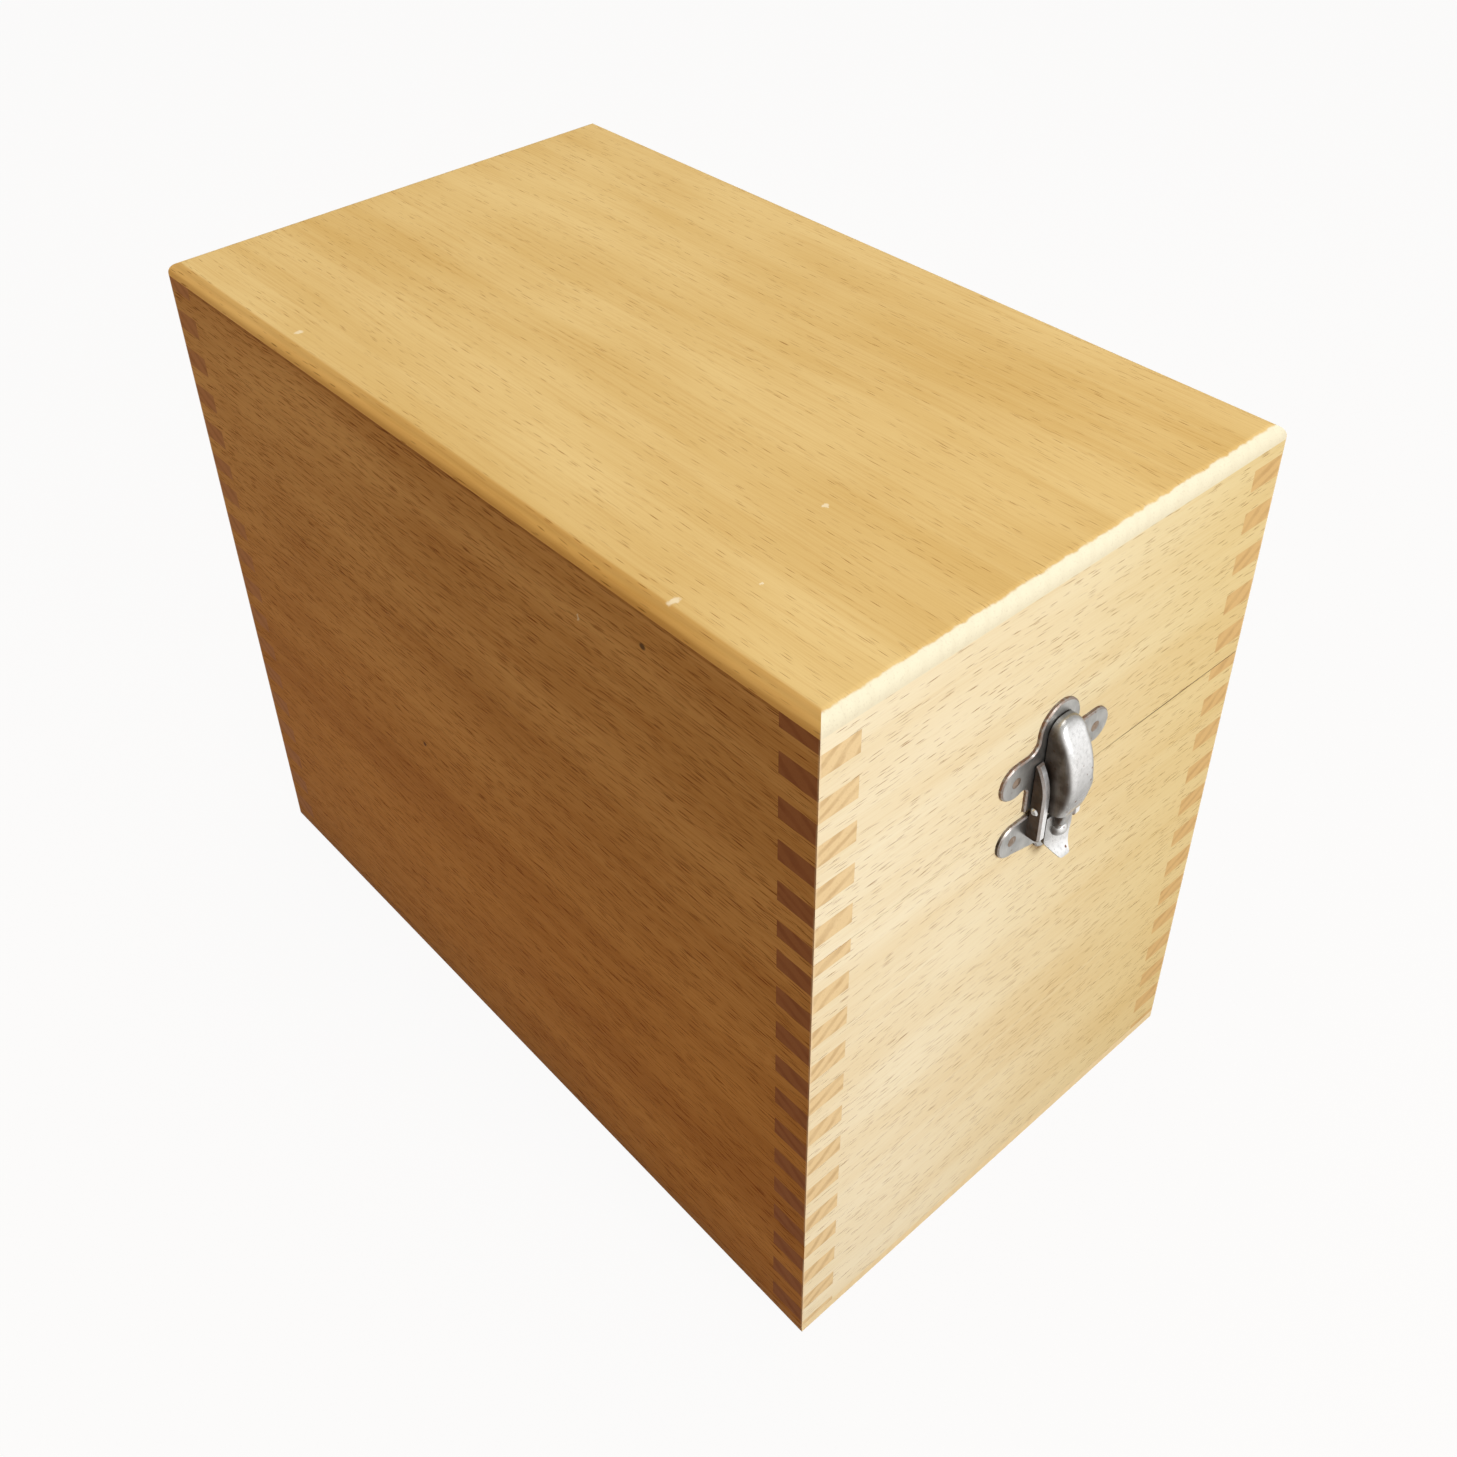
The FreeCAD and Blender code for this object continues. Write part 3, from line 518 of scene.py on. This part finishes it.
    def _long_grain(
        self, graph: Graph, place: Signal, board: Signal, bent: Signal, fibre: Signal
    ) -> Signal:
        """Return the colour of the board's faces along the grain, without flecks.

        Args:
            graph: The material's graph.
            place: The place in millimetres.
            board: The place in the board's directions.
            bent: The same place, bent as the grain wanders.
            fibre: The fine fibre streaks.

        Returns:
            The colour.
        """
        broad = graph.noise(bent, self.BROAD_SIZE, 3.0)
        bloom = graph.noise(board, self.BLOOM_SIZE)
        streak = graph.noise(bent, self.STREAK_SIZE)
        tone = (broad * 0.6 + bloom * 0.4).above(0.34, 0.68)
        colour = graph.blend(tone, self.pale, self.deep)
        colour = graph.blend(fibre.above(0.42, 0.75) * self.fibre, colour, self.deep, "MULTIPLY")
        colour = graph.blend(streak.above(0.60, 0.78) * 0.35, colour, self.pale)
        # Each fade multiplies the colour by its tint; most of the boards' fades are painted shade
        # and painted light.
        for fade in self.fades:
            reach = graph.axis(place, fade.axis).above(fade.start, fade.end)
            colour = graph.blend(reach, colour, fade.tint, "MULTIPLY")
        return colour

    def _end_grain(self, graph: Graph, board: Signal, bent: Signal, wander: Signal) -> Signal:
        """Return the colour of the sawn ends, with ring lines and pores.

        Args:
            graph: The material's graph.
            board: The place in the board's directions.
            bent: The same place, bent as the grain wanders.
            wander: How the grain wanders.

        Returns:
            The colour.
        """
        slanted = graph.axis(bent, "Y") + graph.axis(bent, "Z") * self.RING_SLOPE
        blotch = graph.noise(board, (4.0, 5.0, 5.0), 2.0)
        rings = (slanted * self.RING_PITCH + wander * 22.0 + blotch * 3.0).sine() * 0.5 + 0.5
        pores = graph.noise(board, (0.7, 0.45, 0.45), 1.0)
        line = rings.above(0.35, 1.0) * (blotch.above(0.3, 0.7) * 0.6 + 0.4)
        ends = graph.blend(line * self.ring, self.end, self.RING, "MULTIPLY")
        return graph.blend(pores.above(0.55, 0.75) * 0.18, ends, self.PORE, "MULTIPLY")

    def build(self) -> bpy.types.Material:
        """Build the material.

        Returns:
            The beech material.
        """
        graph = SurfaceGraph(self.name)
        place = graph.millimetres()
        board = self._board_place(graph, place)
        nick = graph.noise(place, (2.2, 2.2, 2.2), 3.0) - 0.5
        along = abs(graph.axis(graph.normal(), self.grain.value[0]))
        end_face = (along + nick * 0.35).above(*self.end_turn)

        wander = graph.noise(board, self.WANDER_SIZE) - 0.5
        sideways = {1: wander * self.WANDER_ACROSS, 2: wander * self.WANDER_THROUGH}
        shift = graph.node("ShaderNodeCombineXYZ", None, sideways)
        bent = graph.vector("ADD", board, shift)
        fibre = graph.noise(bent, self.FIBRE_SIZE, 3.0)
        flecks = self._flecks(graph, bent)

        colour = self._long_grain(graph, place, board, bent, fibre)
        colour = graph.blend(flecks * self.fleck, colour, self.FLECK, "MULTIPLY")
        colour = graph.blend(end_face, colour, self._end_grain(graph, board, bent, wander))
        ragged = graph.ragged(place, 1.1, 0.9)
        # Dark marks, and the painted shadow of the lid seam.
        dark = self._spots(graph, place, self.dark_marks_and_seam_shadow)
        if dark is not None:
            colour = graph.blend(dark * 0.8, colour, self.DARK_MARK_AND_SEAM_SHADOW)
        pale = self._spots(graph, ragged, self.pale_spots)
        if pale is not None:
            colour = graph.blend(pale * 0.75, colour, self.CHIP)

        # Pale upright corners: partly rubbed wear, partly a painted highlight along the arris.
        wear_and_painted_light = self._arris_wear_and_highlight(graph, place)
        colour = graph.blend(wear_and_painted_light * 0.5, colour, self.ARRIS_WEAR_AND_HIGHLIGHT)
        graph.bump(fibre * 0.7 + (1.0 - flecks) * 0.3, self.RELIEF)
        rough = fibre * 0.16 + flecks * 0.15 + 0.52
        return graph.finish(Base_Color=colour, Roughness=rough, Specular_IOR_Level=self.SHEEN_LEVEL)

    def _arris_wear_and_highlight(self, graph: Graph, place: Signal) -> Signal:
        """Return where the upright corners of the box are painted pale: partly rubbed wear, partly
        a painted highlight along the edge.

        Args:
            graph: The material's graph.
            place: The place in millimetres.

        Returns:
            The mask of the corner edges.
        """
        side = abs(graph.axis(place, "X")).above(*self.ARRIS_SIDE)
        end = abs(graph.axis(place, "Y")).above(*self.ARRIS_END)
        highlight_reach = graph.noise(place, (6.0, 6.0, 14.0), 3.0).above(0.3, 0.5)
        return side * end * highlight_reach


@dataclass(frozen=True)
class MetalFinish:
    """Worn plated steel: clouded plating, dark pits and rust on its rims, with painted shade on the
    faces that turn sideways and a painted highlight on the raised forward faces.
    """

    name: str
    plate: Colour
    pits: float
    rough: float
    rim: float = 0.0
    side_shade: float = 0.0
    highlight_reach: tuple[float, float] | None = None
    highlight_tilt: float = 0.0
    highlight_facing: tuple[float, float] = (0.5, 0.85)
    RUST: ClassVar[Colour] = (0.11, 0.055, 0.03)
    SIDE_SHADE_DARK: ClassVar[Colour] = (0.020, 0.016, 0.012)
    PAINTED_HIGHLIGHT: ClassVar[Colour] = (0.93, 0.92, 0.90)
    SCUFF: ClassVar[Colour] = (0.9, 0.89, 0.87)
    SHEEN_LEVEL: ClassVar[float] = 0.12
    RELIEF: ClassVar[float] = 0.05

    def _painted_highlight(self, graph: Graph, place: Signal, facing: Signal, grit: Signal) -> Signal:
        """Return where the raised, forward faces get a painted highlight.

        Args:
            graph: The material's graph.
            place: The place in millimetres.
            facing: The direction that the surface faces.
            grit: Fine noise that breaks the mask up.

        Returns:
            The mask.
        """
        raised = graph.axis(place, "Y").above(*self.highlight_reach)
        forward = (graph.axis(facing, "Z") * self.highlight_tilt - graph.axis(facing, "Y")
                   - graph.axis(facing, "X") * self.highlight_tilt * 0.5)
        return raised * forward.above(*self.highlight_facing) * (grit.above(0.2, 0.6) * 0.35 + 0.65)

    def build(self) -> bpy.types.Material:
        """Build the material.

        Returns:
            The metal material.
        """
        graph = SurfaceGraph(self.name)
        place = graph.millimetres()
        facing = graph.normal()
        cloud = graph.noise(place, (5.0, 5.0, 5.0), 4.0)
        grit = graph.noise(place, (0.9, 0.9, 0.9), 3.0)
        scuff = graph.noise(place, (0.35, 0.35, 4.0), 2.0)
        distance, seed = graph.cells(place, (1.5, 1.5, 1.5))
        pits = (distance / (seed * 0.26 + 0.05)).above(1.0, 0.5) * seed.above(0.35, 0.8)

        rust = pits * self.pits * cloud.above(0.38, 0.62)
        if self.rim:
            edge = abs(graph.axis(facing, "Y")).above(0.97, 0.55)
            rust = rust + edge * (grit.above(0.25, 0.6) * 0.65 + 0.35) * self.rim
        rust = graph.node("ShaderNodeClamp", None, {"Value": rust})

        plate = graph.blend(cloud.above(0.35, 0.7), self.plate, toned(self.plate, 0.72))
        plate = graph.blend(scuff.above(0.55, 0.8) * 0.35, plate, self.SCUFF)
        stain = graph.blend(grit.above(0.3, 0.7), self.RUST, toned(self.RUST, 1.9))
        # Painted highlight on the raised faces that face forward and up.
        if self.highlight_reach:
            plate = graph.blend(self._painted_highlight(graph, place, facing, grit), plate, self.PAINTED_HIGHLIGHT)
        colour = graph.blend(rust, plate, stain)
        wear_and_painted_light = rust
        # Painted shade: faces that turn sideways are darkened, and made less metallic and rougher.
        if self.side_shade:
            side = abs(graph.axis(facing, "X")).above(0.55, 0.95)
            side_shade = side * (cloud.above(0.15, 0.75) * 0.3 + 0.7) * self.side_shade
            colour = graph.blend(side_shade, colour, graph.blend(grit * 0.4, self.SIDE_SHADE_DARK, self.RUST))
            wear_and_painted_light = rust + side_shade * 0.8
        graph.bump(grit * 0.4 + (1.0 - rust) * 0.6, self.RELIEF)
        return graph.finish(
            Base_Color=colour,
            Metallic=1.0 - wear_and_painted_light * 0.7,
            Roughness=cloud * 0.16 + wear_and_painted_light * 0.25 + (self.rough - 0.08),
            Specular_IOR_Level=self.SHEEN_LEVEL,
        )


@dataclass
class SubAssembly:
    """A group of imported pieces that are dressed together."""

    frame: dict[str, Any]
    PLAN: ClassVar[dict[Any, tuple[str, ...]]] = {}

    def dress(self) -> None:
        """Give every piece of the group its finish."""
        for finish, names in self.PLAN.items():
            material = finish.build()
            for name in names:
                self.coat(self.frame["nodes"][name], material)

    @staticmethod
    def coat(piece: bpy.types.Object, material: bpy.types.Material) -> None:
        """Give a whole piece one material.

        Args:
            piece: The object.
            material: Its material.
        """
        piece.data.materials.clear()
        piece.data.materials.append(material)
        for face in piece.data.polygons:
            face.material_index = 0
        LOG.info("dressed %s with %s", piece.name, material.name)


@dataclass
class Boards(SubAssembly):
    """The beech walls, top board and bottom board of the case and the lid."""

    # Painted light and shade: the front wall's colours are written paler than the other walls'.
    # This is painted light on the lit face, beside the wood's own tone. Its fade darkens and
    # yellows it towards the right as painted shade.
    FRONT: ClassVar[BeechFinish] = BeechFinish(
        "beech_front", Grain.END_WALL, srgb(240, 231, 201), srgb(232, 216, 177), srgb(160, 104, 62),
        fades=(Fade("X", -60.0, 75.0, (0.87, 0.78, 0.55)),),
        # Painted shadow: a thin dark line along the lid seam right of the latch.
        dark_marks_and_seam_shadow=(Spot((46.0, -128.5, 146.9), (36.0, 2.0, 0.24)),),
    )
    BACK: ClassVar[BeechFinish] = BeechFinish(
        "beech_back", Grain.END_WALL, srgb(232, 208, 158), srgb(220, 190, 134), srgb(186, 130, 80),
        (310.0, 52.0, 17.0),
    )
    # Painted shade: the left wall's colours are written darker and more orange than the front's,
    # for the shaded side. Its fade from 205 mm down to 60 mm darkens it further towards the bottom.
    LEFT: ClassVar[BeechFinish] = BeechFinish(
        "beech_left", Grain.SIDE_WALL, srgb(223, 174, 105), srgb(200, 147, 79), srgb(228, 203, 155),
        (40.0, 431.0, 80.0), fleck=1.0, fleck_start=0.0, fleck_reach=0.34, fibre=0.36,
        fades=(
            Fade("Z", 205.0, 60.0, (0.84, 0.70, 0.50)),
            Fade("Z", 208.6, 209.6, (0.7, 0.6, 0.5)),
        ),
        dark_marks_and_seam_shadow=(
            Spot((-75.0, -77.0, 201.0), (1.3, 1.2, 1.1)),
            Spot((-75.0, 25.0, 104.0), (0.9, 0.9, 0.9)),
        ),
        pale_spots=(Spot((-75.0, -55.0, 195.6), (1.0, 0.4, 1.4)),),
    )
    # Painted shade: the fade darkens the right wall towards the bottom.
    RIGHT: ClassVar[BeechFinish] = BeechFinish(
        "beech_right", Grain.SIDE_WALL,
        srgb(214, 172, 110), srgb(200, 152, 90), srgb(214, 180, 122),
        (713.0, 29.0, 11.0), fades=(Fade("Z", 205.0, 60.0, (0.88, 0.82, 0.74)),), ring=0.4,
        # Painted shadow: the same dark line along the lid seam on the right wall's front end.
        dark_marks_and_seam_shadow=(Spot((72.0, -128.5, 146.9), (12.0, 2.0, 0.24)),),
    )
    # Painted light and shade on the rounded edges: the pale end colour and low end_turn make the
    # rounded front edge pale, partly worn wood and partly a painted highlight. The first fade
    # darkens the upper part of the rounded left edge as painted shade, and the second lightens its
    # lower part as painted light.
    TOP: ClassVar[BeechFinish] = BeechFinish(
        "beech_top", Grain.FLAT, srgb(224, 194, 131), srgb(210, 174, 106), srgb(230, 223, 194),
        (90.0, 12.0, 5.0), fleck=0.75, fleck_start=0.42, end_turn=(0.28, 0.46), ring=0.06,
        fades=(
            Fade("X", -71.6, -72.5, (0.86, 0.73, 0.56)),
            Fade("X", -73.2, -74.8, (1.56, 1.62, 1.66)),
        ),
        pale_spots=(
            Spot((-71.0, -82.9, 214.0), (2.0, 1.2, 2.0)),
            Spot((-25.5, -79.7, 214.0), (0.9, 0.9, 2.0)),
            Spot((-68.6, 67.3, 214.0), (1.5, 1.0, 2.0)),
            Spot((-54.4, -90.7, 214.0), (0.5, 0.4, 2.0)),
        ),
    )
    BOTTOM: ClassVar[BeechFinish] = BeechFinish(
        "beech_bottom", Grain.FLAT, srgb(192, 138, 76), srgb(178, 122, 62), srgb(236, 216, 170),
        (501.0, 77.0, 31.0), ring=0.1,
    )
    PLAN: ClassVar[dict[BeechFinish, tuple[str, ...]]] = {
        FRONT: ("case_front_panel", "lid_front_panel"),
        BACK: ("case_back_panel", "lid_back_panel"),
        LEFT: ("case_left_panel", "lid_left_panel"),
        RIGHT: ("case_right_panel", "lid_right_panel"),
        TOP: ("lid_top_board",),
        BOTTOM: ("bottom_board",),
    }


@dataclass
class Latch(SubAssembly):
    """The plated snap latch: keeper plate, base plate with cheeks, lever, pin, spring and nails."""

    still_leg: Triple = (0.0, -130.0, 147.5)
    moving_leg: Triple = (0.0, -132.3, 147.5)
    PLATE: ClassVar[MetalFinish] = MetalFinish(
        "latch_plate_nickel", plate=(0.47, 0.46, 0.43), rim=0.9, pits=0.4, rough=0.36,
    )
    # Painted shade on the sideways faces of the base plate and its cheeks, and a painted highlight
    # on their forward faces.
    BASE: ClassVar[MetalFinish] = MetalFinish(
        "latch_base_nickel", plate=(0.48, 0.47, 0.44), rim=0.6, pits=0.4, rough=0.34, side_shade=1.0,
        highlight_reach=(-130.6, -131.8),
    )
    # Painted shade on the lever's sideways faces, and a painted highlight across its crown.
    LEVER: ClassVar[MetalFinish] = MetalFinish(
        "latch_lever_nickel", plate=(0.40, 0.39, 0.37), pits=1.0, rough=0.28, side_shade=0.95,
        highlight_reach=(-131.0, -134.0), highlight_tilt=0.6, highlight_facing=(0.85, 1.22),
    )
    PIN: ClassVar[MetalFinish] = MetalFinish(
        "latch_pin_steel", plate=(0.72, 0.71, 0.69), pits=0.2, rough=0.2,
    )
    NAIL: ClassVar[MetalFinish] = MetalFinish(
        "latch_nail_steel", plate=(0.34, 0.25, 0.18), pits=0.8, rough=0.42,
    )
    SPRING: ClassVar[MetalFinish] = MetalFinish(
        "latch_spring_steel", plate=(0.42, 0.42, 0.43), pits=0.3, rough=0.3,
    )
    PLAN: ClassVar[dict[MetalFinish, tuple[str, ...]]] = {
        PLATE: ("latch_keeper_plate",),
        BASE: ("latch_base_plate",),
        LEVER: ("latch_lever",),
        PIN: ("latch_pivot_pin",),
        NAIL: ("keeper_nails", "base_nails"),
        SPRING: ("latch_spring",),
    }

    def dress(self) -> None:
        """Give every piece of the latch its finish, and put a loose copy in place of the spring."""
        super().dress()
        self._flex_spring()

    def _flex_spring(self) -> None:
        """Put a loose copy of the hairpin spring in place of the imported one, which is hidden; the
        copy is not bent.
        """
        packed = self.frame["nodes"]["latch_spring"]
        leaf = bpy.data.objects.new("latch_spring_leaf", packed.data.copy())
        bpy.context.collection.objects.link(leaf)
        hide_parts("latch_spring")
        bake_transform(leaf)
        LOG.info("bent %s between the case and the lever", leaf.name)


@dataclass
class Hinges(SubAssembly):
    """The two butt hinges on the back wall, with their pins and screws."""

    LEAF: ClassVar[MetalFinish] = MetalFinish(
        "hinge_leaf_steel", plate=(0.56, 0.55, 0.53), rim=0.5, pits=0.4, rough=0.34,
    )
    PIN: ClassVar[MetalFinish] = MetalFinish(
        "hinge_pin_steel", plate=(0.66, 0.65, 0.63), pits=0.2, rough=0.24,
    )
    SCREW: ClassVar[MetalFinish] = MetalFinish(
        "hinge_screw_steel", plate=(0.60, 0.57, 0.50), pits=0.5, rough=0.3,
    )
    PLAN: ClassVar[dict[MetalFinish, tuple[str, ...]]] = {
        LEAF: ("hinge_left_case_leaf", "hinge_left_lid_leaf",
               "hinge_right_case_leaf", "hinge_right_lid_leaf"),
        PIN: ("hinge_left_pin", "hinge_right_pin"),
        SCREW: ("hinge_case_screws", "hinge_lid_screws"),
    }


@dataclass(frozen=True)
class Lamp:
    """A soft rectangular lamp that looks at the box."""

    name: str
    place: Triple
    size: float
    power: float
    colour: Colour = WHITE


@dataclass(frozen=True)
class Studio:
    """The floor, the sky, the lamps and the camera around the box."""

    floor_colour: Colour = (0.56, 0.42, 0.30)
    floor_size: float = 6.0
    floor_glow: float = 0.94
    floor_rough: float = 0.8
    floor_mottle: float = 0.985
    mottle_size: Triple = (9.0, 9.0, 9.0)
    sky: float = 0.15
    sky_tint: Colour = (1.0, 0.78, 0.55)
    lamps: tuple[Lamp, ...] = (
        Lamp("key", (0.0, -1.0, 0.62), 0.4, 8.5, (0.97, 1.0, 1.06)),
        Lamp("overhead", (0.15, 0.2, 1.5), 1.2, 13.8, (1.0, 0.99, 0.99)),
        Lamp("side", (-0.45, 0.45, 0.5), 0.3, 0.5, (1.0, 0.92, 0.8)),
    )
    aim: Triple = (0.0, 0.0, 0.11)
    camera_place: Triple = (-0.22981, -0.27893, 0.40992)
    camera_turn: Triple = (0.91229, 0.017318, -0.725569)
    sensor: float = 36.0
    lens: float = 39.761
    nearest: float = 0.01
    shift: tuple[float, float] = (0.0103, -0.09037)

    def build(self) -> None:
        """Set up everything around the box."""
        self._floor()
        self._world()
        for lamp in self.lamps:
            self._lamp(lamp)
        self._camera()
        bpy.context.scene.view_settings.view_transform = "Standard"

    def _floor(self) -> None:
        """Lay a wide pale floor that looks white where no shadow falls."""
        half = self.floor_size / 2
        mesh = bpy.data.meshes.new("floor")
        corners = [(-half, -half, 0.0), (half, -half, 0.0), (half, half, 0.0), (-half, half, 0.0)]
        mesh.from_pydata(corners, [], [(0, 1, 2, 3)])
        floor = bpy.data.objects.new("floor", mesh)
        bpy.context.collection.objects.link(floor)
        graph = SurfaceGraph("floor_white")
        place = graph.millimetres()
        fine = graph.noise(place, self.mottle_size, 3.0)
        tint = graph.blend(fine, self.floor_colour, toned(self.floor_colour, self.floor_mottle))
        mesh.materials.append(graph.finish(Base_Color=tint, Roughness=self.floor_rough))
        glow = graph.node("ShaderNodeEmission", None, {"Color": WHITE, "Strength": 1.0})
        lit = graph.surface.outputs[0]
        inputs = {0: graph.seen() * self.floor_glow, 1: lit, 2: glow}
        surface = graph.node("ShaderNodeMixShader", None, inputs)
        graph.feed(graph.first("OUTPUT_MATERIAL").inputs["Surface"], surface)

    def _world(self) -> None:
        """Fill the surroundings with an even sky that the camera sees as white."""
        world = bpy.data.worlds.new("studio")
        bpy.context.scene.world = world
        world.use_nodes = True
        graph = Graph(world.node_tree)
        dim = {"Color": self.sky_tint, "Strength": self.sky}
        sky = graph.node("ShaderNodeBackground", None, dim)
        white = graph.node("ShaderNodeBackground", None, {"Color": WHITE, "Strength": 1.0})
        mix = graph.node("ShaderNodeMixShader", None, {0: graph.seen(), 1: sky, 2: white})
        graph.feed(graph.first("OUTPUT_WORLD").inputs["Surface"], mix)

    def _lamp(self, lamp: Lamp) -> None:
        """Hang one lamp.

        Args:
            lamp: Where it hangs and how it shines.
        """
        light = bpy.data.lights.new(lamp.name, "AREA")
        light.energy = lamp.power
        light.size = lamp.size
        light.color = lamp.colour
        holder = bpy.data.objects.new(lamp.name, light)
        holder.location = lamp.place
        toward = Vector(self.aim) - Vector(lamp.place)
        holder.rotation_euler = toward.to_track_quat("-Z", "Y").to_euler()
        bpy.context.collection.objects.link(holder)
        LOG.info("hung lamp %s", lamp.name)

    def _camera(self) -> None:
        """Set the camera at the photo's view."""
        data = bpy.data.cameras.new("camera")
        data.sensor_width = self.sensor
        data.lens = self.lens
        data.shift_x, data.shift_y = self.shift
        data.clip_start = self.nearest
        camera = bpy.data.objects.new("camera", data)
        camera.location = self.camera_place
        camera.rotation_euler = Euler(self.camera_turn, "XYZ")
        bpy.context.collection.objects.link(camera)
        bpy.context.scene.camera = camera


def main() -> None:
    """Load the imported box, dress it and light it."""
    logging.basicConfig(level=logging.INFO)
    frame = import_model()
    for group in (Boards(frame), Latch(frame), Hinges(frame)):
        group.dress()
    Studio().build()


if __name__ == "__main__":
    main()
